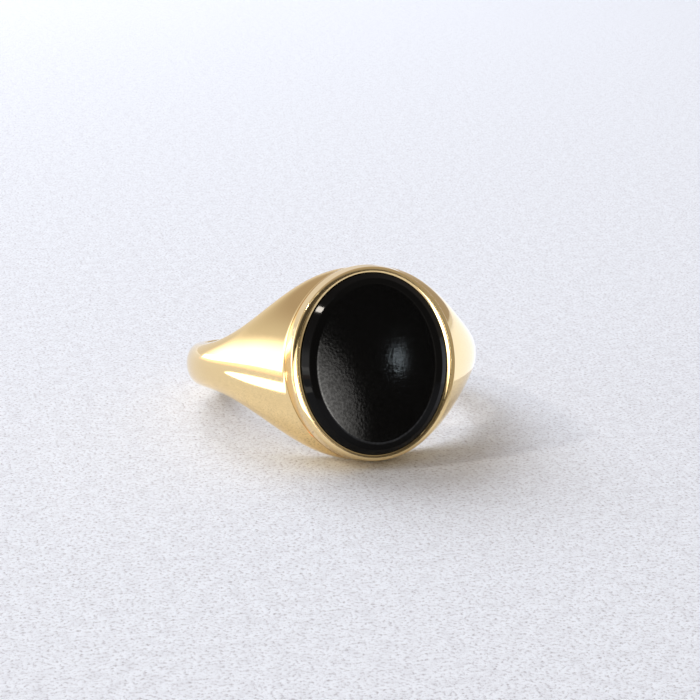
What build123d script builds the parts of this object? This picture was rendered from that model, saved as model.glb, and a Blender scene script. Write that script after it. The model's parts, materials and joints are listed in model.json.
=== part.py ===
"""Signet ring with an oval onyx tablet, lying on its side as a ring does on a table.

The ring is drawn upright first: the finger hole runs along Y, the oval face looks along +Z and
the two shoulders lie to -X and +X. Every piece is then laid down together, so that the end of
the head and the back of the shank touch the surface under it, and the face looks to -Y and up.

How it comes apart on a bench: a D-section shank band, two tapered shoulders, an oval head collet
with a curved base plate under it, a bezel strip and a shorter bearing strip inside the collet, the
onyx tablet in its bed of setting cement, and the solder that joins the gold pieces.
"""

import math
import os
from build123d import *

# Driving dimensions, in millimetres and degrees.
BORE_RADIUS = 8.85  # about finger size P, 56 mm round
SHANK_RADIUS = 10.2  # crown of the shank, from the bore's axis
SHANK_HALF_WIDTH = 1.46
SHANK_EDGE_HEIGHT = 0.35  # side wall of the shank, from the bore to the start of its dome
HEAD_HALF_LENGTH = 6.45  # the shoulders' outline where it meets the head's end
HEAD_EDGE_HEIGHT = 0.9  # the same side wall under the face
SIDE_TAPER = 0.7  # how far the head's sides draw in towards the finger
SHOULDER_RISE = 3.5  # crown of the shoulders above the shank, carried up to the face's centre
RISE_SPREAD = 35.0  # angle over which that rise falls away
RISE_POWER = 1.5  # below 2, so that a little of the rise reaches further down the shoulder
WIDTH_SPREAD = 45.6  # angle over which the shoulders' width falls away
WIDTH_POWER = 2.4  # above 2, so that the width holds for longer beside the head
EDGE_SPREAD = 40.0  # angle over which their side wall falls away
SEAM_ANGLE = 100.0  # where the shoulders are soldered to the shank band
INNER_START = 8.5  # sections start inside the bore, which is then cut true

FACE_HEIGHT = 11.9  # rim of the head, from the bore's axis
STONE_HALF = (5.0, 6.0)  # a 12 x 10 mm oval tablet
TABLE_RISE = 0.66  # the tablet's table above the rim
SEAT_DEPTH = 1.4  # from the rim down to the ledge that the tablet sits on
STEP_DEPTH = 1.8  # from the rim down to the step inside the collet
STRIP_THICKNESS = 0.15
BEARING_WIDTH = 0.4
PLATE_THICKNESS = 0.7
SOLDER = 0.04

RIM_HALF = (5.58, 6.36)  # collet's outline at the rim
BELLY_HALF = (5.77, 6.58)  # its widest outline
BELLY_DEPTH = 1.6  # from the rim down to that outline
FOOT_HALF = (5.5, 5.9)  # its outline at the finger
FOOT_HEIGHT = 8.6
RIM_EASE = 0.06  # softened edges of the rim


def bell(angle, spread, power=2.0):
    """A bell curve, 1 at the face's centre, falling away over the spread both ways round."""
    return math.exp(-((min(angle, 360 - angle) / spread) ** power))


def crown_radius(angle):
    """Radius of the outer surface on the ring's middle plane."""
    return SHANK_RADIUS + SHOULDER_RISE * bell(angle, RISE_SPREAD, RISE_POWER)


def edge_radius(angle):
    """Radius at which the side wall ends and the dome begins."""
    rise = (HEAD_EDGE_HEIGHT - SHANK_EDGE_HEIGHT) * bell(angle, EDGE_SPREAD)
    return BORE_RADIUS + SHANK_EDGE_HEIGHT + rise


def half_width(angle):
    """Half the width of the ring, along the finger."""
    widening = HEAD_HALF_LENGTH - SHANK_HALF_WIDTH
    return SHANK_HALF_WIDTH + widening * bell(angle, WIDTH_SPREAD, WIDTH_POWER)


def section(angle, side=1):
    """The ring's D-shaped cross-section at an angle from the face's centre, towards side * X."""
    turn = math.radians(angle)
    radial = Vector(side * math.sin(turn), 0, math.cos(turn))
    across = Vector(0, 1, 0)
    plane = Plane(radial * edge_radius(angle), x_dir=across, z_dir=across.cross(radial))
    wide = half_width(angle)
    narrow = wide - SIDE_TAPER * bell(angle, WIDTH_SPREAD)
    floor = INNER_START - edge_radius(angle)
    rise = crown_radius(angle) - edge_radius(angle)
    dome = EllipticalCenterArc((0, 0), wide, rise, start_angle=0, arc_size=180)
    walls = Polyline((-wide, 0), (-narrow, floor), (narrow, floor), (wide, 0))
    return plane * make_face(dome + walls)


def hoop(first, last, count, side=1):
    """A stretch of the ring between two angles, before the bore is cut."""
    step = (last - first) / (count - 1)
    return loft([section(first + step * n, side) for n in range(count)])


def oval(half, height):
    """A flat oval with half axes along X and Y."""
    return Pos(0, 0, height) * Ellipse(*half)


def grown(half, by):
    """Half axes moved out by an offset."""
    return tuple(axis + by for axis in half)


def oval_block(half, bottom, top):
    """A straight-sided oval solid."""
    return extrude(oval(half, bottom), top - bottom)


def oval_stack(outlines):
    """Oval frusta on top of each other, from (half axes, height) pairs."""
    return Part() + [
        loft([oval(*lower), oval(*upper)], ruled=True) for lower, upper in zip(outlines, outlines[1:])
    ]


def collet_envelope(by=0.0):
    """The collet's outside as a solid, moved out by an offset."""
    return oval_stack(
        [
            (grown(FOOT_HALF, by), FOOT_HEIGHT - 3),
            (grown(FOOT_HALF, by), FOOT_HEIGHT),
            (grown(BELLY_HALF, by), FACE_HEIGHT - BELLY_DEPTH),
            (grown(RIM_HALF, by), FACE_HEIGHT - RIM_EASE),
            (grown(RIM_HALF, by - RIM_EASE), FACE_HEIGHT),
        ]
    )


SEAT_HEIGHT = FACE_HEIGHT - SEAT_DEPTH
STEP_HEIGHT = FACE_HEIGHT - STEP_DEPTH
TABLE_HEIGHT = FACE_HEIGHT + TABLE_RISE
CAVITY_HALF = grown(STONE_HALF, STRIP_THICKNESS + SOLDER)
WELL_HALF = grown(STONE_HALF, -BEARING_WIDTH)
PLATE_HALF = grown(WELL_HALF, -SOLDER)
REACH = 40.0  # longer than anything it cuts

bore = Rot(90, 0, 0) * Cylinder(BORE_RADIUS, REACH)
plate_space = Rot(90, 0, 0) * Cylinder(BORE_RADIUS + PLATE_THICKNESS, REACH)
column = oval_block(grown(RIM_HALF, 0.05), FACE_HEIGHT - 0.001, REACH / 2)


def shank_band():
    """The back of the ring, from one shoulder seam round to the other."""
    seam = math.degrees(SOLDER / BORE_RADIUS)
    start = SEAM_ANGLE + seam
    return hoop(start, 360 - start, 9) - bore


def shank_section_seam(side):
    """Solder between the shank band and one shoulder."""
    seam = math.degrees(SOLDER / BORE_RADIUS)
    return hoop(SEAM_ANGLE, SEAM_ANGLE + seam, 2, side) - bore


def shoulder_blank(side):
    """One shoulder before it is fitted to the head."""
    return hoop(SEAM_ANGLE, 6, 15, side) - bore - column


def shoulder(side):
    """One shoulder, cut to the collet with room for its solder."""
    return shoulder_blank(side) - collet_envelope(SOLDER)


def shoulder_seam(side):
    """Solder between one shoulder and the collet's wall."""
    return shoulder_blank(side) & (collet_envelope(SOLDER) - collet_envelope())


def head_collet():
    """The oval head: a flared wall with a rounded rim, and a step inside for the two strips."""
    eased = oval_stack(
        [(CAVITY_HALF, FACE_HEIGHT - RIM_EASE), (grown(CAVITY_HALF, RIM_EASE), FACE_HEIGHT)]
    )
    cavity = oval_block(CAVITY_HALF, STEP_HEIGHT, FACE_HEIGHT - RIM_EASE)
    return collet_envelope() - cavity - eased - oval_block(WELL_HALF, 0, STEP_HEIGHT) - bore


def base_plate():
    """Curved sheet that closes the head against the finger."""
    return oval_block(PLATE_HALF, BORE_RADIUS / 2, REACH / 2) & (plate_space - bore)


def base_seam():
    """Solder round the base plate."""
    ring = oval_block(WELL_HALF, BORE_RADIUS / 2, REACH / 2) - oval_block(PLATE_HALF, 0, REACH)
    return ring & (plate_space - bore)


def strip(inner, outer, bottom, top):
    """A straight oval strip standing between two heights."""
    return oval_block(outer, bottom, top) - oval_block(inner, bottom, top)


# The tablet's side, from its underside to its table: how far it draws in at the oval's sides, and
# its height. It draws in less at the oval's ends.
STONE_SIDE = [
    (0.10, SEAT_HEIGHT),
    (0.00, SEAT_HEIGHT + 0.1),
    (0.00, FACE_HEIGHT - 0.30),
    (0.08, FACE_HEIGHT - 0.02),
    (0.50, FACE_HEIGHT + 0.46),
    (0.76, FACE_HEIGHT + 0.61),
    (1.02, TABLE_HEIGHT),
]
END_SHARE = 0.78


def stone_outline(inset):
    """Half axes of the tablet where it has drawn in by an inset at its sides."""
    return STONE_HALF[0] - inset, STONE_HALF[1] - END_SHARE * inset


def onyx_stone():
    """Oval tablet with a flat table and a bevelled edge that stands proud of the rim."""
    return oval_stack([(stone_outline(inset), height) for inset, height in STONE_SIDE])


def bezel_strip():
    """Thin strip round the tablet, rubbed over the foot of its bevel."""
    top = FACE_HEIGHT - 0.02
    outer = grown(STONE_HALF, STRIP_THICKNESS)
    blank = oval_stack(
        [(outer, STEP_HEIGHT), (outer, top - RIM_EASE), (grown(outer, -RIM_EASE), top)]
    )
    girdle = STONE_SIDE[2:4]
    lean = oval_stack([(stone_outline(inset), height) for inset, height in girdle])
    return blank - oval_block(STONE_HALF, STEP_HEIGHT, girdle[0][1]) - lean


def bezel_seam():
    """Solder between the bezel strip and the collet, kept below the rim's groove."""
    return strip(grown(STONE_HALF, STRIP_THICKNESS), CAVITY_HALF, STEP_HEIGHT, FACE_HEIGHT - 0.35)


def bearing_strip():
    """Shorter strip inside the bezel, whose top edge is the ledge under the tablet."""
    return strip(WELL_HALF, STONE_HALF, STEP_HEIGHT, SEAT_HEIGHT)


def cement_bed():
    """Setting cement between the base plate and the tablet's underside."""
    return oval_block(WELL_HALF, BORE_RADIUS / 2, SEAT_HEIGHT) - plate_space


def resting_tilt():
    """Angle by which the face looks up when the head's belly and the shank's back touch down.

    With t the tilt's tangent, the belly reaches as low as the back's elliptical dome when
    (belly - span * t)^2 = half_width^2 + (dome * t)^2.
    """
    belly = BELLY_HALF[1]
    span = FACE_HEIGHT - BELLY_DEPTH + edge_radius(180)
    wide = half_width(180)
    dome = crown_radius(180) - edge_radius(180)
    square = span**2 - dome**2
    middle = belly * span
    root = math.sqrt(middle**2 - square * (belly**2 - wide**2))
    return math.degrees(math.atan((middle - root) / square))


PIECES = {
    "shank_band": shank_band(),
    "left_shoulder": shoulder(-1),
    "right_shoulder": shoulder(1),
    "head_collet": head_collet(),
    "base_plate": base_plate(),
    "bezel_strip": bezel_strip(),
    "bearing_strip": bearing_strip(),
    "onyx_stone": onyx_stone(),
    "cement_bed": cement_bed(),
    "shank_solder_seams": Part() + [shank_section_seam(side) for side in (-1, 1)],
    "shoulder_solder_seams": Part() + [shoulder_seam(side) for side in (-1, 1)],
    "base_solder_seam": base_seam(),
    "bezel_solder_seam": bezel_seam(),
}

# Laid down: the finger axis turns up from Y, leaning back by the tilt, and the origin is put on the
# surface under the middle of the whole ring.
TILT = resting_tilt()
LAID = {name: Rot(90 - TILT, 0, 0) * piece for name, piece in PIECES.items()}
whole = Compound(children=[Compound(children=list(piece.solids())) for piece in LAID.values()])
box = whole.bounding_box()
SETTLE = Pos(-(box.min.X + box.max.X) / 2, -(box.min.Y + box.max.Y) / 2, -box.min.Z)

os.makedirs("parts", exist_ok=True)
for name, piece in LAID.items():
    export_step(Compound(children=[SETTLE * solid for solid in piece.solids()]), f"parts/{name}.step")
print("tilt", round(TILT, 3), "settle", SETTLE.position, "size", box.size)
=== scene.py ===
"""Signet ring in polished yellow gold with an oval black onyx tablet, lying on its side.

Each piece is drawn upright first, in millimetres: the finger hole runs along Y, the oval face looks
along +Z and the shoulders lie to -X and +X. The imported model's two mounts, the finger hole and the
tablet's table, then say where the ring lies.
"""

import json
import logging
import math
from dataclasses import dataclass, field
from enum import Enum

import bpy
import numpy as np
from mathutils import Matrix, Vector

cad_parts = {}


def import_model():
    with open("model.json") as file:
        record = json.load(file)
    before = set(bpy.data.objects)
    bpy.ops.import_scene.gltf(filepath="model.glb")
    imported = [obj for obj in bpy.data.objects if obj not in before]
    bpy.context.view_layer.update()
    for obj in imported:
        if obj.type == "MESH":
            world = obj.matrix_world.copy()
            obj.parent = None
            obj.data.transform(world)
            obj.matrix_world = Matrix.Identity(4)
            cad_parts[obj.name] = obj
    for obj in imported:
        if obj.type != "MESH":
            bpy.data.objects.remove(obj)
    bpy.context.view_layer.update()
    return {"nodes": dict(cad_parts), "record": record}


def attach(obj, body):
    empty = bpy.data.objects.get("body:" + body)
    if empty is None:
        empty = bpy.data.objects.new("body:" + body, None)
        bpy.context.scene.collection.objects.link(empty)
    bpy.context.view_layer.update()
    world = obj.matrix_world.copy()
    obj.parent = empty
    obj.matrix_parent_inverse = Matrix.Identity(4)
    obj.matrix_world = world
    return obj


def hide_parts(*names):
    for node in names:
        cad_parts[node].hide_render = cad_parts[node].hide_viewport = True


LOG = logging.getLogger("signet_ring")
MM = 0.001
END_ANGLE = 40.0  # degrees; a polished end meets its sides at a sharper turn than this


class Side(Enum):
    """The two shoulders, named as seen from the face's side."""

    LEFT = -1
    RIGHT = 1


# ------------------------------------------------------------------ meshes


@dataclass(frozen=True)
class Placement:
    """Where the upright ring is laid down.

    Args:
        centre: the finger hole's middle, in metres.
        across: unit vector along the finger.
        facing: unit vector that the face looks along.
    """

    centre: np.ndarray
    across: np.ndarray
    facing: np.ndarray

    @classmethod
    def from_record(cls, record: dict) -> "Placement":
        """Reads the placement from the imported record's mounts.

        Args:
            record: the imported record.

        Returns:
            The placement.
        """
        mounts = {mount["name"]: mount for mount in record["mounts"]}
        bore, table = mounts["finger_bore"], mounts["stone_table"]
        return cls(np.array(bore["pos_m"]), np.array(bore["axis"]), np.array(table["axis"]))

    def lay(self, points: np.ndarray) -> np.ndarray:
        """Turns upright millimetres into laid-down metres.

        Args:
            points: any array whose last axis is x, y, z.

        Returns:
            The same array in the shared frame.
        """
        side = np.cross(self.across, self.facing)
        return self.centre + MM * (points @ np.stack([side, self.across, self.facing]))


def quads(rows: int, columns: int, wrap_rows: bool) -> np.ndarray:
    """Corner numbers of the faces between neighbouring rows of a grid whose columns close.

    Args:
        rows: rows of vertices.
        columns: vertices in each row.
        wrap_rows: whether the last row joins the first.

    Returns:
        One line of four vertex numbers for each face.
    """
    row = np.arange(rows if wrap_rows else rows - 1)[:, None]
    column = np.arange(columns)[None, :]
    after, beside = (row + 1) % rows, (column + 1) % columns
    corners = [row * columns + column, row * columns + beside]
    corners += [after * columns + beside, after * columns + column]
    return np.stack([np.broadcast_to(c, (len(row), columns)) for c in corners], -1).reshape(-1, 4)


def fan(first: int, columns: int, hub: int, outward: bool) -> np.ndarray:
    """Corner numbers of the triangles that close one row on a hub vertex.

    Args:
        first: number of the row's first vertex.
        columns: vertices in the row.
        hub: number of the hub vertex.
        outward: which way round the triangles go.

    Returns:
        One line of three vertex numbers for each triangle.
    """
    near = np.arange(columns)
    far = (near + 1) % columns
    pair = [near + first, far + first] if outward else [far + first, near + first]
    return np.stack([*pair, np.full(columns, hub)], -1)


def oval(profile: np.ndarray, columns: int) -> np.ndarray:
    """Carries a profile round an oval: x = a cos v, y = b sin v.

    Args:
        profile: half axes and height at each point, as (a, b, z).
        columns: points round the oval.

    Returns:
        Rows by columns by x, y, z.
    """
    v = np.linspace(0, 2 * math.pi, columns, endpoint=False)
    a, b, z = profile.T[:, :, None]
    return np.stack([a * np.cos(v), b * np.sin(v), z + 0 * v], -1)


def unit(vectors: np.ndarray) -> np.ndarray:
    """The same directions at length 1."""
    return vectors / np.linalg.norm(vectors, axis=1, keepdims=True)


def skin(name: str, grid: np.ndarray, place: Placement, closed: bool) -> bpy.types.Object:
    """Makes a closed mesh from a grid of points whose columns run round a loop.

    The volume inside is the sum of each triangle's box product over six. Where it comes out
    negative, the faces are turned round, so that they point outwards.

    Args:
        name: the piece's name.
        grid: rows by columns by x, y, z, upright and in millimetres.
        place: where the ring lies.
        closed: True joins the last row to the first; False closes both end rows on hub vertices.

    Returns:
        The new object, smooth but for the edges of its flat ends.
    """
    rows, columns = grid.shape[:2]
    points = place.lay(grid.reshape(-1, 3))
    faces = quads(rows, columns, closed)
    triangles = np.concatenate([faces[:, [0, 1, 2]], faces[:, [0, 2, 3]]])
    caps = np.empty((0, 3), int)
    if not closed:
        hubs = place.lay(np.stack([grid[0].mean(0), grid[-1].mean(0)]))
        points = np.concatenate([points, hubs])
        count = rows * columns
        caps = np.concatenate(
            [fan(0, columns, count, False), fan(count - columns, columns, count + 1, True)]
        )
        triangles = np.concatenate([triangles, caps])
    shifted = points[triangles] - points.mean(0)
    volume = np.einsum("ij,ij->i", shifted[:, 0], np.cross(shifted[:, 1], shifted[:, 2])).sum() / 6
    if volume < 0:
        faces, caps = faces[:, ::-1], caps[:, ::-1]
    mesh = bpy.data.meshes.new(name)
    mesh.from_pydata(points.tolist(), [], faces.tolist() + caps.tolist())
    mesh.polygons.foreach_set("use_smooth", np.ones(len(mesh.polygons), bool))
    mesh.update()
    if not closed:
        mesh.set_sharp_from_angle(angle=math.radians(END_ANGLE))
    piece = bpy.data.objects.new(name, mesh)
    bpy.context.scene.collection.objects.link(piece)
    return piece


def rounded(corners: list, radii: list, steps: int = 6, loop: bool = False) -> np.ndarray:
    """A line through corners, with each corner replaced by a parabola arc.

    The arc leaves the line one radius before the corner and joins it one radius after, and between
    them follows (1-u)^2 before + 2u(1-u) corner + u^2 after.

    Args:
        corners: the corner points.
        radii: how far from its corner each arc starts; 0 keeps the corner.
        steps: spans in each arc.
        loop: whether the last corner joins the first.

    Returns:
        The points of the softened line.
    """
    spots = np.array(corners, float)
    before, after = np.roll(spots, 1, 0), np.roll(spots, -1, 0)
    u = np.linspace(0, 1, steps + 1)[:, None]
    line = []
    for n, (spot, radius) in enumerate(zip(spots, radii)):
        end = not loop and n in (0, len(spots) - 1)
        if end or radius == 0:
            line.append(spot[None])
            continue
        back = spot + radius * (before[n] - spot) / np.linalg.norm(before[n] - spot)
        on = spot + radius * (after[n] - spot) / np.linalg.norm(after[n] - spot)
        line.append((1 - u) ** 2 * back + 2 * u * (1 - u) * spot + u**2 * on)
    return np.concatenate(line)


def filled(line: np.ndarray, span: float, loop: bool = False) -> np.ndarray:
    """Adds points along a line so that no step is longer than a span.

    Args:
        line: points of the line.
        span: the longest step.
        loop: whether the last point joins the first.

    Returns:
        The line with the added points.
    """
    ends = np.concatenate([line, line[:1]]) if loop else line
    steps = np.maximum(np.ceil(np.linalg.norm(np.diff(ends, axis=0), axis=1) / span), 1).astype(int)
    start = np.repeat(np.arange(len(steps)), steps)
    share = (np.arange(len(start)) - np.repeat(np.cumsum(steps) - steps, steps)) / steps[start]
    inner = ends[start] + share[:, None] * (ends[start + 1] - ends[start])
    return inner if loop else np.concatenate([inner, ends[-1:]])


# ------------------------------------------------------------------ the ring's shape


@dataclass
class HoopLaw:
    """The ring's body: a D-shaped section whose size follows the angle from the face.

    Widths, side walls and crown all follow bell curves of that angle, so that the shoulders run
    into the shank without a corner. Lengths are in millimetres and spreads in degrees.
    """

    bore: float = 8.85
    shank_crown: float = 10.2
    shank_half_width: float = 1.46
    shank_edge: float = 0.35
    head_half_length: float = 6.43
    head_edge: float = 0.9
    side_taper: float = 0.7
    shoulder_rise: float = 3.5
    rise_spread: float = 35.0
    rise_power: float = 1.5
    width_spread: float = 45.6
    width_power: float = 2.4
    edge_spread: float = 40.0
    taper_depth: float = 0.35
    edge_ease: float = 0.16
    dome_spans: int = 72
    wall_spans: int = 8
    floor_spans: int = 14

    def bell(self, angle: np.ndarray, spread: float, power: float = 2.0) -> np.ndarray:
        """Falls from 1 at the face's centre as exp(-(angle / spread)^power)."""
        return np.exp(-((angle / spread) ** power))

    def crown(self, angle: np.ndarray) -> np.ndarray:
        """Radius of the outer surface on the middle plane."""
        rise = self.bell(angle, self.rise_spread, self.rise_power)
        return self.shank_crown + self.shoulder_rise * rise

    def edge(self, angle: np.ndarray) -> np.ndarray:
        """Radius where the side wall ends and the dome begins."""
        rise = (self.head_edge - self.shank_edge) * self.bell(angle, self.edge_spread)
        return self.bore + self.shank_edge + rise

    def half_width(self, angle: np.ndarray) -> np.ndarray:
        """Half the width along the finger."""
        widening = self.head_half_length - self.shank_half_width
        return self.shank_half_width + widening * self.bell(angle, self.width_spread, self.width_power)

    def wall_width(self, angle: np.ndarray, radius: np.ndarray) -> np.ndarray:
        """Half width of the side wall, which leans in towards the finger in a straight line.

        Args:
            angle: angles from the face's centre.
            radius: distances from the finger hole's axis.

        Returns:
            The half widths.
        """
        lean = self.side_taper * self.bell(angle, self.width_spread)
        edge = self.edge(angle)
        return self.half_width(angle) - lean * (edge - radius) / (edge - self.bore + self.taper_depth)

    def columns(self) -> int:
        """How many points the section's loop has."""
        return self.section(np.zeros(1))[0].shape[-1]

    def section(self, angle: np.ndarray) -> tuple:
        """The section's outline as a loop of (along the finger, radius) pairs.

        The dome is half an ellipse, y = w cos t and r = edge + rise sin t. The walls are straight,
        and a quarter ellipse eases each into the bore.

        Args:
            angle: angles from the face's centre, of any shape.

        Returns:
            Two arrays, the widths and the radii, with the loop as their last axis.
        """
        a = np.asarray(angle, float)[..., None]
        edge, wide, ease = self.edge(a), self.half_width(a), self.edge_ease
        t = np.linspace(0, math.pi, self.dome_spans + 1)
        dome_y, dome_r = wide * np.cos(t), edge + (self.crown(a) - edge) * np.sin(t)
        down = np.linspace(0, 1, self.wall_spans + 1)[1:-1]
        low = self.bore + ease
        wall_r = edge + (low - edge) * down
        wall_y = self.wall_width(a, wall_r)
        turn = np.linspace(0, math.pi / 2, self.wall_spans + 1)
        ease_r = low - ease * np.sin(turn) + 0 * edge
        foot = self.wall_width(a, low)
        ease_y = foot - ease * (1 - np.cos(turn))
        across = np.linspace(1, -1, self.floor_spans + 1)[1:-1]
        floor_y, floor_r = (foot - ease) * across, self.bore + 0 * edge * across
        widths = [dome_y, -wall_y, -ease_y, -floor_y, ease_y[..., ::-1], wall_y[..., ::-1]]
        radii = [dome_r, wall_r, ease_r, floor_r, ease_r[..., ::-1], wall_r[..., ::-1]]
        return np.concatenate(widths, -1), np.concatenate(radii, -1)

    def stretch(self, angles: np.ndarray, side: Side) -> np.ndarray:
        """Points of a stretch of the ring whose rows may end at a different angle in each column.

        Args:
            angles: rows by columns of angles, or rows alone.
            side: the side of the face that the angles are counted towards.

        Returns:
            Rows by columns by x, y, z.
        """
        widths, radii = self.section(angles)
        if angles.ndim == 1:
            turn = np.radians(angles)[:, None]
        else:
            column = np.arange(angles.shape[1])
            widths, radii = widths[:, column, column], radii[:, column, column]
            turn = np.radians(angles)
        x, z = side.value * radii * np.sin(turn), radii * np.cos(turn)
        return np.stack([x, widths, z], -1)


@dataclass
class ColletLaw:
    """The head's oval wall: half axes at each height, from the foot up to the rim."""

    face: float = 11.9
    foot: tuple = (5.5, 5.9, 8.6)
    belly: tuple = (5.77, 6.58, 10.3)
    rim: tuple = (5.58, 6.36, 11.9)
    belly_ease: float = 0.6
    crown: float = 0.07
    rim_ease: float = 0.13
    lip_ease: float = 0.05
    groove: tuple = (5.23, 6.14)
    well: tuple = (4.6, 5.6)
    step_depth: float = 1.8
    foot_ease: float = 0.4

    def wall(self) -> np.ndarray:
        """The outside of the wall from below the finger hole's crown to the rim, as (a, b, z)."""
        deep = (self.foot[0], self.foot[1], 0.0)
        return rounded([deep, self.foot, self.belly, self.rim], [0, self.foot_ease, self.belly_ease, 0], 10)

    def half_axes(self, height: np.ndarray) -> tuple:
        """Half axes of the outside at heights, from straight lines between the wall's points."""
        a, b, z = self.wall().T
        return np.interp(height, z, a), np.interp(height, z, b)

    def inside(self, points: np.ndarray, inset: float = 0.0) -> np.ndarray:
        """(x/a)^2 + (y/b)^2 - 1 at the points' own heights: negative inside the wall."""
        a, b = self.half_axes(points[..., 2])
        return (points[..., 0] / (a - inset)) ** 2 + (points[..., 1] / (b - inset)) ** 2 - 1


@dataclass
class Ring:
    """Everything the pieces share: the two laws, the solder angle and the placement."""

    place: Placement
    hoop: HoopLaw = field(default_factory=HoopLaw)
    collet: ColletLaw = field(default_factory=ColletLaw)
    seam_angle: float = 100.0
    seam_width: float = 0.27
    crease_limit: float = 60.0
    halvings: int = 40

    def crease(self, inset: float) -> np.ndarray:
        """The angle at which each line of the hoop runs into the head's wall.

        Each line is followed from the shoulder towards the face by halving the angle's bracket
        until the wall's inside test changes sign.

        Args:
            inset: how far inside the wall the lines end.

        Returns:
            One angle for each column of the section.
        """
        columns = self.hoop.columns()
        near, far = np.zeros(columns), np.full(columns, self.crease_limit)
        for _ in range(self.halvings):
            middle = (near + far) / 2
            points = self.hoop.stretch(middle[None, :], Side.RIGHT)[0]
            within = self.collet.inside(points, inset) < 0
            near, far = np.where(within, middle, near), np.where(within, far, middle)
        return near


# ------------------------------------------------------------------ finishes


def linear(code: str) -> tuple:
    """An sRGB hex colour as linear red, green, blue and 1."""
    parts = [int(code[n : n + 2], 16) / 255 for n in (1, 3, 5)]
    return (*[p / 12.92 if p <= 0.04045 else ((p + 0.055) / 1.055) ** 2.4 for p in parts], 1.0)


def add_node(
    tree: bpy.types.NodeTree, kind: str, links: dict | None = None, values: dict | None = None, **settings
) -> bpy.types.Node:
    """Adds a node with its settings, fixed input values and links.

    Args:
        tree: the node tree.
        kind: the node's type name.
        links: input name or number to the output socket that feeds it.
        values: input name or number to its fixed value.
        settings: properties of the node.

    Returns:
        The node.
    """
    node = tree.nodes.new(kind)
    for key, value in settings.items():
        setattr(node, key, value)
    for key, value in (values or {}).items():
        node.inputs[key].default_value = value
    for key, output in (links or {}).items():
        tree.links.new(output, node.inputs[key])
    return node


def ramp(start: float, end: float, low: float = 0.0, high: float = 1.0) -> dict:
    """Input values that carry start..end onto low..high."""
    return {"From Min": start, "From Max": end, "To Min": low, "To Max": high}


def per_metre(size_mm: float) -> float:
    """A pattern's scale from the size of its marks."""
    return 1 / size_mm / MM


def blank(name: str, values: dict) -> tuple:
    """Starts a material.

    Args:
        name: the material's name.
        values: shader input name to its fixed value.

    Returns:
        The material, its node tree, its shader and its texture coordinates.
    """
    made = bpy.data.materials.new(name)
    made.use_nodes = True
    tree = made.node_tree
    shader = tree.nodes["Principled BSDF"]
    for key, value in values.items():
        shader.inputs[key].default_value = value
    return made, tree, shader, add_node(tree, "ShaderNodeTexCoord").outputs["Object"]


# Mopped with ever finer rouge, the metal mirrors the room sharply. Wear leaves hairlines that
# show only as a slight softening along the highlights.
@dataclass(frozen=True)
class PolishedGold:
    """9 ct yellow gold, mopped to a mirror: colour, and the hairlines that wear leaves in it."""

    name: str = "polished_9ct_yellow_gold"
    colour: str = "#f7deaa"
    warm: str = "#f2d398"
    drift_mm: float = 5.56
    roughness: float = 0.07
    gloss_spread: tuple = (0.7, 1.6)
    hairline_mm: float = 0.05
    hairline_pull: tuple = (0.3, 0.02, 0.3)
    hairline_turn: tuple = (0.5, 0.2, 0.6)
    depth_mm: float = 0.0006
    strength: float = 0.15

    def material(self) -> bpy.types.Material:
        """Builds the finish.

        Returns:
            A metal whose colour drifts a little, with hairlines in its roughness and bump.
        """
        made, tree, shader, place = blank(self.name, {"Metallic": 1.0})
        drift = add_node(
            tree, "ShaderNodeTexNoise", {"Vector": place}, {"Scale": per_metre(self.drift_mm), "Detail": 3.0}
        )
        shades = {6: linear(self.colour), 7: linear(self.warm)}
        tint = add_node(tree, "ShaderNodeMix", {"Factor": drift.outputs["Fac"]}, shades, data_type="RGBA")
        tree.links.new(tint.outputs[2], shader.inputs["Base Color"])
        # hairlines: noise pulled out fifteen times longer than it is wide
        stretch = tuple(pull * per_metre(self.hairline_mm) for pull in self.hairline_pull)
        pulled = add_node(
            tree, "ShaderNodeMapping", {"Vector": place}, {"Scale": stretch, "Rotation": self.hairline_turn}
        )
        lines = add_node(
            tree, "ShaderNodeTexNoise", {"Vector": pulled.outputs["Vector"]}, {"Scale": 1.0, "Detail": 2.0}
        )
        low, high = (self.roughness * share for share in self.gloss_spread)
        hairs = {"Value": lines.outputs["Fac"]}
        gloss = add_node(tree, "ShaderNodeMapRange", hairs, ramp(0.35, 0.75, low, high))
        tree.links.new(gloss.outputs["Result"], shader.inputs["Roughness"])
        relief = {"Strength": self.strength, "Distance": self.depth_mm * MM}
        bump = add_node(tree, "ShaderNodeBump", {"Height": lines.outputs["Fac"]}, relief)
        tree.links.new(bump.outputs["Normal"], shader.inputs["Normal"])
        return made


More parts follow.
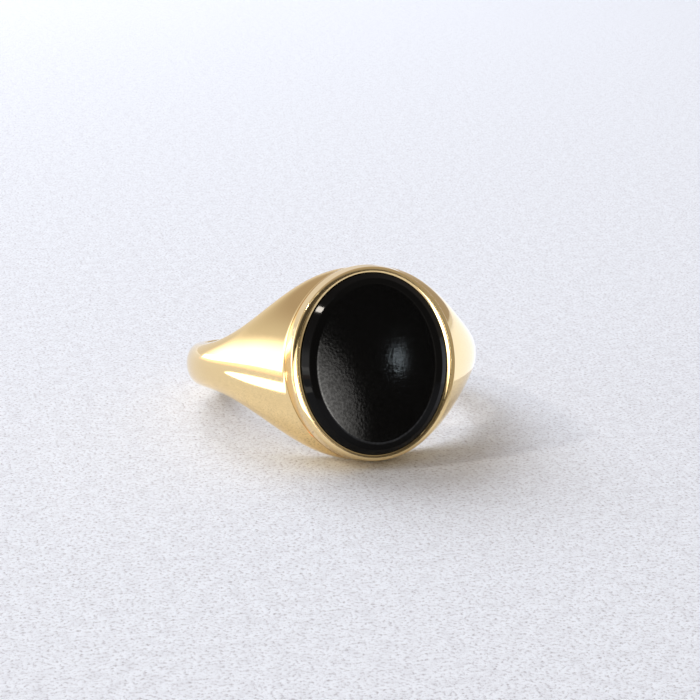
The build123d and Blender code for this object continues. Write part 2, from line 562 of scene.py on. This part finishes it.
# The lap leaves the flat table with a soft gloss broken up by fine rubs. The bevel is polished
# on its own, so it is smoother and stays black until it catches a light.
@dataclass(frozen=True)
class BlackOnyx:
    """Black onyx, dyed chalcedony lapped flat: a satin table with fine rubs, and a bright bevel."""

    name: str = "black_onyx"
    colour: str = "#080808"
    refraction: float = 1.54
    bevel_roughness: float = 0.07
    table_roughness: float = 0.08
    roughness_spread: tuple = (0.7, 1.3)
    bevel_sheen: float = 0.1
    table_sheen: float = 0.3
    sheen_spread: tuple = (0.75, 1.3)
    rub_mm: float = 0.1667
    rub_depth_mm: float = 0.0032

    def material(self) -> bpy.types.Material:
        """Builds the finish.

        Returns:
            A dark stone whose table, marked by the mesh's own attribute, is softer than its bevel.
        """
        made, tree, shader, place = blank(
            self.name, {"Base Color": linear(self.colour), "IOR": self.refraction}
        )
        lapped = add_node(tree, "ShaderNodeAttribute", attribute_name="lapped").outputs["Fac"]
        rubs = add_node(
            tree, "ShaderNodeTexNoise", {"Vector": place}, {"Scale": per_metre(self.rub_mm), "Detail": 3.0}
        ).outputs["Fac"]
        low, high = (self.table_roughness * share for share in self.roughness_spread)
        soft = add_node(tree, "ShaderNodeMapRange", {"Value": rubs}, ramp(0, 1, low, high))
        low, high = (self.table_sheen * share for share in self.sheen_spread)
        worn = add_node(tree, "ShaderNodeMapRange", {"Value": rubs}, ramp(0.38, 0.62, low, high))
        pairs = (("Roughness", soft, self.bevel_roughness), ("Specular IOR Level", worn, self.bevel_sheen))
        for socket, table, bevel in pairs:
            links = {"Factor": lapped, 3: table.outputs["Result"]}
            mixed = add_node(tree, "ShaderNodeMix", links, {2: bevel})
            tree.links.new(mixed.outputs[0], shader.inputs[socket])
        relief = {"Distance": self.rub_depth_mm * MM}
        bump = add_node(tree, "ShaderNodeBump", {"Height": rubs, "Strength": lapped}, relief)
        tree.links.new(bump.outputs["Normal"], shader.inputs["Normal"])
        return made


# Poured and left to set, it stays matt, with the grain of its filler.
@dataclass(frozen=True)
class SettingCement:
    """Jeweller's setting cement: brown, matt and grainy, and hidden under the tablet."""

    name: str = "setting_cement"
    dark: str = "#3b2a1c"
    light: str = "#58422d"
    roughness: float = 0.8
    grain_mm: float = 0.1667

    def material(self) -> bpy.types.Material:
        """Builds the finish.

        Returns:
            A matt material with a fine two-tone grain.
        """
        made, tree, shader, place = blank(self.name, {"Roughness": self.roughness})
        grain = add_node(
            tree, "ShaderNodeTexNoise", {"Vector": place}, {"Scale": per_metre(self.grain_mm), "Detail": 4.0}
        )
        shades = {6: linear(self.dark), 7: linear(self.light)}
        tint = add_node(tree, "ShaderNodeMix", {"Factor": grain.outputs["Fac"]}, shades, data_type="RGBA")
        tree.links.new(tint.outputs[2], shader.inputs["Base Color"])
        return made


# Buffed hide has a short nap that scatters light evenly, with darker specks where it parts.
@dataclass(frozen=True)
class PaleSuede:
    """Pale grey-lavender suede: a short nap with fine darker specks."""

    name: str = "pale_suede"
    light: str = "#f3f8ff"
    dark: str = "#a9a5ab"
    roughness: float = 0.95
    sheen: float = 0.1
    nap_mm: float = 0.22
    nap_depth_mm: float = 0.12
    nap_strength: float = 0.5
    cloud_mm: float = 0.9
    cloud_floor: float = 0.84

    def material(self) -> bpy.types.Material:
        """Builds the finish.

        Returns:
            A matt material with specks, faint patches and the relief of its nap.
        """
        made, tree, shader, place = blank(
            self.name, {"Roughness": self.roughness, "Specular IOR Level": self.sheen}
        )
        nap = add_node(
            tree, "ShaderNodeTexNoise", {"Vector": place},
            {"Scale": per_metre(self.nap_mm), "Detail": 4.0, "Roughness": 0.7},
        ).outputs["Fac"]
        cloud = add_node(
            tree, "ShaderNodeTexNoise", {"Vector": place}, {"Scale": per_metre(self.cloud_mm), "Detail": 3.0}
        ).outputs["Fac"]
        specks = add_node(tree, "ShaderNodeMapRange", {"Value": nap}, ramp(0.28, 0.5))
        patches = add_node(tree, "ShaderNodeMapRange", {"Value": cloud}, ramp(0.3, 0.6, self.cloud_floor))
        both = {0: specks.outputs["Result"], 1: patches.outputs["Result"]}
        mottle = add_node(tree, "ShaderNodeMath", both, operation="MULTIPLY")
        shades = {6: linear(self.dark), 7: linear(self.light)}
        tint = add_node(tree, "ShaderNodeMix", {"Factor": mottle.outputs["Value"]}, shades, data_type="RGBA")
        tree.links.new(tint.outputs[2], shader.inputs["Base Color"])
        relief = {"Strength": self.nap_strength, "Distance": self.nap_depth_mm * MM}
        bump = add_node(tree, "ShaderNodeBump", {"Height": nap}, relief)
        tree.links.new(bump.outputs["Normal"], shader.inputs["Normal"])
        return made


# ------------------------------------------------------------------ pieces


@dataclass
class Shank:
    """The band at the back of the ring and its two butt joints."""

    ring: Ring
    finish: bpy.types.Material
    spans: int = 90
    joint_rows: int = 3

    def build(self) -> list:
        """Makes the band and the joints.

        Returns:
            The pieces.
        """
        start = self.ring.seam_angle + self.ring.seam_width
        angles = np.linspace(start, 360 - start, self.spans + 1)
        folded = np.minimum(angles, 360 - angles)
        widths, radii = self.ring.hoop.section(folded)
        turn = np.radians(angles)[:, None]
        grid = np.stack([radii * np.sin(turn), widths, radii * np.cos(turn)], -1)
        band = skin("shank_band_body", grid, self.ring.place, False)
        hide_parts("shank_band")
        joints = [self.joint(side) for side in Side]
        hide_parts("shank_solder_seams")
        for piece in (band, *joints):
            piece.data.materials.append(self.finish)
        return [band, *joints]

    def joint(self, side: Side) -> bpy.types.Object:
        """Makes one soldered butt joint, polished flush.

        Args:
            side: which side of the ring it is on.

        Returns:
            The joint.
        """
        start = self.ring.seam_angle
        angles = np.linspace(start, start + self.ring.seam_width, self.joint_rows)
        grid = self.ring.hoop.stretch(angles, side)
        return skin(f"shank_joint_{side.name.lower()}", grid, self.ring.place, False)


@dataclass
class Shoulder:
    """One tapered shoulder, from the head's wall to the butt joint."""

    ring: Ring
    side: Side
    finish: bpy.types.Material
    spans: int = 110
    tuck: float = 0.06
    packing: float = 1.5

    def build(self) -> list:
        """Makes the shoulder.

        Rows are packed closer together towards the head, as their share to the power of packing.

        Returns:
            The piece.
        """
        crease = self.ring.crease(self.tuck)
        share = np.linspace(0, 1, self.spans + 1)[:, None] ** self.packing
        angles = crease + (self.ring.seam_angle - crease) * share
        grid = self.ring.hoop.stretch(angles, self.side)
        name = f"{self.side.name.lower()}_shoulder"
        piece = skin(f"{name}_body", grid, self.ring.place, False)
        piece.data.materials.append(self.finish)
        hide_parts(name)
        return [piece]


@dataclass
class SolderFillet:
    """Polished solder that fills the corner between one shoulder and the head's wall."""

    ring: Ring
    side: Side
    finish: bpy.types.Material
    reach: float = 0.22
    least_reach: float = 0.02
    proud: float = 0.004
    buried: float = 0.12
    spans: int = 10
    probe_angle: float = 0.5
    probe_step: float = 1e-3

    def outer_columns(self) -> np.ndarray:
        """Numbers of the section's columns over the dome and both walls, in order."""
        hoop = self.ring.hoop
        return np.arange(-(hoop.wall_spans - 1), hoop.dome_spans + hoop.wall_spans) % hoop.columns()

    def shoulder_line(self, angles: np.ndarray, picked: np.ndarray) -> np.ndarray:
        """Points of the shoulder at one angle for each column, at the picked columns."""
        return self.ring.hoop.stretch(angles[None, :], self.side)[0][picked]

    def build(self) -> list:
        """Makes the fillet.

        At each column, A lies on the shoulder and B on the wall, both one reach away from the
        corner C across the crease, and the surface follows (1-u)^2 A + 2u(1-u) C + u^2 B. The reach
        shrinks with the sine of the angle between the two surfaces.

        Returns:
            The piece.
        """
        collet = self.ring.collet
        picked = self.outer_columns()
        crease = self.ring.crease(0.0)
        corner = self.shoulder_line(crease, picked)
        along = unit(np.gradient(corner, axis=0))
        away = unit(self.shoulder_line(crease + self.probe_angle, picked) - corner)
        shoulder_normal = unit(np.cross(along, away))
        nudges = self.probe_step * np.eye(3)
        slope = np.stack([collet.inside(corner + n) - collet.inside(corner - n) for n in nudges], -1)
        wall_normal = unit(slope)
        shoulder_normal *= np.sign((shoulder_normal * wall_normal).sum(1, keepdims=True))
        meeting = (shoulder_normal * wall_normal).sum(1).clip(-1, 1)
        reach = self.reach * np.sqrt(1 - meeting**2) + self.least_reach
        up_wall = np.cross(wall_normal, along)
        up_wall *= np.sign((up_wall * shoulder_normal).sum(1, keepdims=True))
        top = corner + reach[:, None] * up_wall
        level = np.sqrt(1 + collet.inside(top))[:, None]
        top = np.concatenate([top[:, :2] / level, top[:, 2:]], 1)
        turned = np.zeros_like(crease)
        turned[picked] = np.degrees(reach / np.hypot(corner[:, 0], corner[:, 2]))
        foot = self.shoulder_line(crease + turned, picked)
        u = np.linspace(0, 1, self.spans + 1)[None, :, None]
        face = (1 - u) ** 2 * foot[:, None] + 2 * u * (1 - u) * corner[:, None] + u**2 * top[:, None]
        outward = shoulder_normal + wall_normal
        face += self.proud * outward[:, None]
        back = corner - self.buried * outward / 2
        grid = np.concatenate([face, back[:, None]], 1)
        piece = skin(f"solder_fillet_{self.side.name.lower()}", grid, self.ring.place, False)
        piece.data.materials.append(self.finish)
        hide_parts("shoulder_solder_seams")
        return [piece]


@dataclass
class Head:
    """The oval collet, its base plate and the bezel strip."""

    ring: Ring
    finish: bpy.types.Material
    columns: int = 288
    deep: float = 5.5
    bezel_outer: tuple = (5.215, 6.125)
    bezel_inner: tuple = (5.0, 6.0)
    bezel_below: float = 0.02
    bezel_lip: tuple = ((4.97, 5.96, 0.05), (4.95, 5.95, 0.16))
    bezel_relief: float = 0.4
    bezel_eases: tuple = (0, 0.05, 0.06, 0, 0, 0)
    plate_gap: float = 0.005
    plate_thickness: float = 0.7
    plate_rows: int = 24
    plate_hub: float = 0.02
    wall_mesh: float = 0.12
    bezel_mesh: float = 0.15

    def collet(self) -> bpy.types.Object:
        """The wall: up the outside, over the rim, down the groove and the well to the finger hole.

        The two lines that end at the finger hole are lowered or raised onto its cylinder, where
        z = sqrt(bore^2 - x^2).

        Returns:
            The wall.
        """
        law, bore = self.ring.collet, self.ring.hoop.bore
        face = law.face
        step = face - law.step_depth
        corners = [
            (law.foot[0], law.foot[1], self.deep),
            law.foot,
            law.belly,
            (law.rim[0], law.rim[1], face - law.crown),
            (law.groove[0], law.groove[1], face),
            (law.groove[0], law.groove[1], step),
            (law.well[0], law.well[1], step),
            (law.well[0], law.well[1], self.deep),
        ]
        eases = [0, law.foot_ease, law.belly_ease, law.rim_ease, law.lip_ease, 0, 0, 0]
        grid = oval(filled(rounded(corners, eases, 8), self.wall_mesh), self.columns)
        floor = np.sqrt(np.maximum(bore**2 - grid[..., 0] ** 2, 0))
        grid[..., 2] = np.maximum(grid[..., 2], floor)
        return skin("head_collet_body", grid, self.ring.place, True)

    def plate(self) -> bpy.types.Object:
        """Makes the curved sheet under the head, its two faces on cylinders round the finger hole.

        Returns:
            The plate.
        """
        law, bore = self.ring.collet, self.ring.hoop.bore
        share = np.linspace(self.plate_hub, 1, self.plate_rows)
        rings = np.concatenate([share, share[::-1]])
        a, b = (rings * (half - self.plate_gap) for half in law.well)
        grid = oval(np.stack([a, b, 0 * rings], -1), self.columns)
        radius = np.repeat([bore, bore + self.plate_thickness], self.plate_rows)[:, None]
        grid[..., 2] = np.sqrt(radius**2 - grid[..., 0] ** 2)
        return skin("base_plate_body", grid, self.ring.place, False)

    def bezel(self) -> bpy.types.Object:
        """Makes the thin strip round the tablet, its top edge rubbed over.

        Returns:
            The strip.
        """
        face = self.ring.collet.face
        top, step = face - self.bezel_below, face - self.ring.collet.step_depth
        corners = [
            (*self.bezel_outer, step),
            (*self.bezel_outer, top),
            *[(a, b, top - down) for a, b, down in self.bezel_lip],
            (*self.bezel_inner, top - self.bezel_relief),
            (*self.bezel_inner, step),
        ]
        line = filled(rounded(corners, list(self.bezel_eases), 6, True), self.bezel_mesh, True)
        return skin("bezel_strip_body", oval(line, self.columns), self.ring.place, True)

    def build(self) -> list:
        """Makes the three pieces.

        Returns:
            The pieces.
        """
        made = {"head_collet": self.collet(), "base_plate": self.plate(), "bezel_strip": self.bezel()}
        for node, piece in made.items():
            piece.data.materials.append(self.finish)
            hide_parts(node)
        return list(made.values())


@dataclass
class Tablet:
    """The onyx: girdle, steep facet, gentle facet and a barely domed table."""

    ring: Ring
    finish: bpy.types.Material
    half: tuple = (5.0, 6.0)
    end_share: float = 0.78
    seat_depth: float = 1.4
    seat_chamfer: float = 0.1
    girdle_top: float = -0.3
    steep_facet: tuple = (0.08, 0.03)
    gentle_facet: tuple = (0.5, 0.42)
    table_edge: tuple = (1.0, 0.57)
    eases: tuple = (0, 0.03, 0.1, 0.03, 0.04, 0)
    dome: float = 0.15
    columns: int = 256
    table_rows: int = 40
    hub_share: float = 0.01
    side_mesh: float = 0.08

    def build(self) -> list:
        """Makes the tablet.

        The table's height falls from its middle by dome times the square of the share of the way
        out.

        Returns:
            The piece.
        """
        face = self.ring.collet.face
        corners = [
            (self.seat_chamfer, -self.seat_depth),
            (0.0, self.seat_chamfer - self.seat_depth),
            (0.0, self.girdle_top),
            self.steep_facet,
            self.gentle_facet,
            self.table_edge,
        ]
        inset, rise = filled(rounded(corners, list(self.eases), 6), self.side_mesh).T
        wall = np.stack([self.half[0] - inset, self.half[1] - self.end_share * inset, face + rise], -1)
        out = np.linspace(1, self.hub_share, self.table_rows)[1:]
        edge = wall[-1]
        table = np.stack([edge[0] * out, edge[1] * out, edge[2] + self.dome * (1 - out**2)], -1)
        under = np.stack([wall[0, 0] * out[::-1], wall[0, 1] * out[::-1], wall[0, 2] + 0 * out], -1)
        profile = np.concatenate([under, wall, table])
        piece = skin("onyx_tablet", oval(profile, self.columns), self.ring.place, False)
        marked = np.zeros(len(piece.data.vertices), np.float32)
        marked[(len(under) + len(wall) - 1) * self.columns :] = 1.0
        marked[-2] = 0.0
        piece.data.attributes.new("lapped", "FLOAT", "POINT").data.foreach_set("value", marked)
        piece.data.materials.append(self.finish)
        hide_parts("onyx_stone")
        return [piece]


# ------------------------------------------------------------------ studio


class Shows(Enum):
    """What a studio light does."""

    BOTH = "lights the scene and is mirrored in it"
    LIGHT = "lights the scene but is not mirrored"
    MIRRORED = "is only mirrored in polished surfaces"


@dataclass(frozen=True)
class Card:
    """One flat light that looks at a point near the ring.

    Args:
        name: the light's name.
        azimuth: 0 from the front, 90 from the right, -90 from the left.
        elevation: degrees above the target.
        distance: metres from the target.
        size: width and height in metres.
        radiance: brightness of its face.
        colour: sRGB hex.
        target: the point it looks at, in metres.
        shows: whether it lights, is mirrored, or both.
        outline: RECTANGLE or ELLIPSE.
    """

    name: str
    azimuth: float
    elevation: float
    distance: float
    size: tuple
    radiance: float
    colour: str = "#ffffff"
    target: tuple = (0.0, 0.0, 0.005)
    shows: Shows = Shows.BOTH
    outline: str = "RECTANGLE"

    def place(self) -> None:
        """Adds the light; its power is its radiance times pi times its area."""
        lamp = bpy.data.lights.new(self.name, "AREA")
        lamp.shape = self.outline
        lamp.size, lamp.size_y = self.size
        lamp.energy = self.radiance * math.pi * self.size[0] * self.size[1]
        lamp.color = linear(self.colour)[:3]
        turn, rise = math.radians(self.azimuth), math.radians(self.elevation)
        level = math.cos(rise)
        away = Vector((math.sin(turn) * level, -math.cos(turn) * level, math.sin(rise)))
        holder = bpy.data.objects.new(self.name, lamp)
        holder.location = Vector(self.target) + away * self.distance
        holder.rotation_mode = "QUATERNION"
        holder.rotation_quaternion = away.to_track_quat("Z", "Y")
        holder.visible_camera = False
        holder.visible_diffuse = self.shows is not Shows.MIRRORED
        holder.visible_glossy = self.shows is not Shows.LIGHT
        bpy.context.scene.collection.objects.link(holder)


DISC_STEPS = 5
DISC_SPACING = 0.005  # metres


def soft_disc(
    name: str,
    azimuth: float,
    elevation: float,
    distance: float,
    smallest: tuple,
    growth: tuple,
    radiance: float,
) -> tuple:
    """Ovals of growing size one behind the other, which fade out together towards their edge.

    Args:
        name: the start of each light's name.
        azimuth: as for a card.
        elevation: as for a card.
        distance: metres to the nearest one.
        smallest: width and height of the nearest one.
        growth: what each one adds to the one before it.
        radiance: brightness of each one.

    Returns:
        The cards.
    """
    return tuple(
        Card(
            f"{name}_{step}",
            azimuth,
            elevation,
            distance + DISC_SPACING * step,
            (smallest[0] + growth[0] * step, smallest[1] + growth[1] * step),
            radiance,
            "#fffdf8",
            shows=Shows.MIRRORED,
            outline="ELLIPSE",
        )
        for step in range(DISC_STEPS)
    )


CARDS = (
    Card("key", -87, 43, 0.5, (0.04, 0.04), 75.0, "#fff6ea"),
    Card("ceiling", -156, 46, 0.7, (0.62, 0.42), 5.0, "#eef4ff", shows=Shows.LIGHT),
    Card("window", -98, 0, 0.06, (0.11, 0.006), 3.0, "#fffdf6", (0, 0, 0.006), Shows.MIRRORED),
    Card("wood", -98, 0, 0.059, (0.11, 0.003), 0.9, "#ffbf90", (0, 0, 0.0015), Shows.MIRRORED),
    Card(
        "sill",
        -90,
        0,
        0.022,
        (0.021, 0.0028),
        2.4,
        "#fffaf0",
        (0, -0.0085, 0.0012),
        Shows.MIRRORED,
        "ELLIPSE",
    ),
    Card("bright_floor", 122, 0, 0.009, (0.04, 0.009), 0.52, "#d8e8ff", (0.008, 0, 0.0045), Shows.MIRRORED),
    Card("tube", -50, 47, 0.5, (0.45, 0.01), 5.0, "#f4f7ff", shows=Shows.MIRRORED),
    *soft_disc("front", -3, 4, 0.5, (0.07, 0.06), (0.05, 0.042), 1.3),
    Card("spark", 19.5, 11, 0.5, (0.006, 0.012), 24.0, "#e6f6ff", shows=Shows.MIRRORED, outline="ELLIPSE"),
)


@dataclass(frozen=True)
class Room:
    """Walls that are pale on the left, warmer on the right and above, and dimmer in front.

    Each span is a range of one component of the direction looked in, over which one tone turns
    into the next. The recess is a dark part of the room in front, given by the cosine of the
    angle from its axis, and the glow is a bright strip low on the left.
    """

    front: str = "#a8a39c"
    low_left: str = "#e8e6e6"
    low_right: str = "#aca296"
    high: str = "#b6aca6"
    recess: str = "#4a4744"
    front_span: tuple = (-0.75, -0.1)
    height_span: tuple = (0.2, 0.6)
    right_span: tuple = (0.1, 0.7)
    recess_axis: tuple = (0.132, -0.942, 0.309)
    recess_span: tuple = (0.83, 0.94)
    glow_side_span: tuple = (-0.45, -0.8)
    glow_height_span: tuple = (0.3, 0.12)
    glow: float = 3.6

    def build(self) -> None:
        """Makes the room the scene's world."""
        world = bpy.data.worlds.new("room")
        bpy.context.scene.world = world
        world.use_nodes = True
        tree = world.node_tree
        back = tree.nodes["Background"]
        look = add_node(tree, "ShaderNodeTexCoord").outputs["Generated"]
        parts = add_node(tree, "ShaderNodeSeparateXYZ", {"Vector": look}).outputs
        dot = {0: look}
        towards = add_node(
            tree, "ShaderNodeVectorMath", dot, {1: self.recess_axis}, operation="DOT_PRODUCT"
        ).outputs["Value"]
        ranges = (
            (parts["Y"], self.front_span),
            (parts["Z"], self.height_span),
            (parts["X"], self.right_span),
            (towards, self.recess_span),
            (parts["X"], self.glow_side_span),
            (parts["Z"], self.glow_height_span),
        )
        depth, height, aside, shade, left, low = (
            add_node(
                tree, "ShaderNodeMapRange", {"Value": source}, ramp(*ends), interpolation_type="SMOOTHSTEP"
            ).outputs["Result"]
            for source, ends in ranges
        )
        tones = {6: linear(self.low_left), 7: linear(self.low_right)}
        low_wall = add_node(tree, "ShaderNodeMix", {"Factor": aside}, tones, data_type="RGBA")
        links = {"Factor": height, 6: low_wall.outputs[2]}
        walls = add_node(tree, "ShaderNodeMix", links, {7: linear(self.high)}, data_type="RGBA")
        links = {"Factor": depth, 7: walls.outputs[2]}
        around = add_node(tree, "ShaderNodeMix", links, {6: linear(self.front)}, data_type="RGBA")
        links = {"Factor": shade, 6: around.outputs[2]}
        room = add_node(tree, "ShaderNodeMix", links, {7: linear(self.recess)}, data_type="RGBA")
        strip = add_node(tree, "ShaderNodeMath", {0: left, 1: low}, operation="MULTIPLY").outputs["Value"]
        power = add_node(tree, "ShaderNodeMapRange", {"Value": strip}, ramp(0, 1, 1, self.glow))
        tree.links.new(room.outputs[2], back.inputs["Color"])
        tree.links.new(power.outputs["Result"], back.inputs["Strength"])


@dataclass
class Studio:
    """Pale floor, soft light from the left, and the camera."""

    place: Placement
    azimuth: float = -16.3
    elevation: float = 17.4
    distance: float = 0.120
    field_width: float = 0.04575
    roll: float = 1.47
    aim_mm: tuple = (-1.62, 0.91)
    rim_height_mm: float = 11.9
    sensor_mm: float = 36.0
    clip: tuple = (0.01, 10.0)
    floor_half: float = 0.6

    def floor(self) -> None:
        """A flat floor."""
        half = self.floor_half
        mesh = bpy.data.meshes.new("floor")
        corners = [(-half, -half, 0), (half, -half, 0), (half, half, 0), (-half, half, 0)]
        mesh.from_pydata(corners, [], [(0, 1, 2, 3)])
        piece = bpy.data.objects.new("floor", mesh)
        bpy.context.scene.collection.objects.link(piece)
        mesh.materials.append(PaleSuede().material())

    def camera(self) -> None:
        """Looks at the head's rim from the front, a little from the left and above."""
        turn, rise = math.radians(self.azimuth), math.radians(self.elevation)
        level = math.cos(rise)
        back = Vector((math.sin(turn) * level, -math.cos(turn) * level, math.sin(rise)))
        right = Vector((0, 0, 1)).cross(back).normalized()
        up = back.cross(right)
        roll = math.radians(self.roll)
        side = right * math.cos(roll) + up * math.sin(roll)
        above = up * math.cos(roll) - right * math.sin(roll)
        rim = Vector(self.place.lay(np.array([0.0, 0.0, self.rim_height_mm])))
        aim = rim + (side * self.aim_mm[0] + above * self.aim_mm[1]) * MM
        lens = bpy.data.cameras.new("camera")
        lens.sensor_width = self.sensor_mm
        lens.lens = lens.sensor_width * self.distance / self.field_width
        lens.clip_start, lens.clip_end = self.clip
        holder = bpy.data.objects.new("camera", lens)
        holder.location = rim + back * self.distance
        look = (holder.location - aim).normalized()
        across = above.cross(look).normalized()
        turned = Matrix([across, look.cross(across), look]).transposed()
        holder.rotation_mode = "QUATERNION"
        holder.rotation_quaternion = turned.to_quaternion()
        bpy.context.scene.collection.objects.link(holder)
        bpy.context.scene.camera = holder

    def build(self) -> None:
        """Sets the whole studio up, with colours shown as they are."""
        bpy.context.scene.view_settings.view_transform = "Standard"
        self.floor()
        Room().build()
        for card in CARDS:
            card.place()
        self.camera()


def main() -> None:
    """Builds the ring's pieces in order, then the studio, and reports each piece."""
    logging.basicConfig(level=logging.INFO, format="%(name)s: %(message)s")
    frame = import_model()
    ring = Ring(Placement.from_record(frame["record"]))
    gold, onyx, cement = PolishedGold().material(), BlackOnyx().material(), SettingCement().material()
    for node in ("bearing_strip", "base_solder_seam", "bezel_solder_seam", "cement_bed"):
        carried = frame["nodes"][node]
        carried.data.materials.clear()
        carried.data.materials.append(cement if node == "cement_bed" else gold)
    shoulders = [Shoulder(ring, side, gold) for side in Side]
    fillets = [SolderFillet(ring, side, gold) for side in Side]
    crews = [Shank(ring, gold), *shoulders, *fillets, Head(ring, gold), Tablet(ring, onyx)]
    for crew in crews:
        for piece in crew.build():
            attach(piece, "root")
            LOG.info("%s: %d faces", piece.name, len(piece.data.polygons))
    Studio(ring.place).build()


if __name__ == "__main__":
    main()
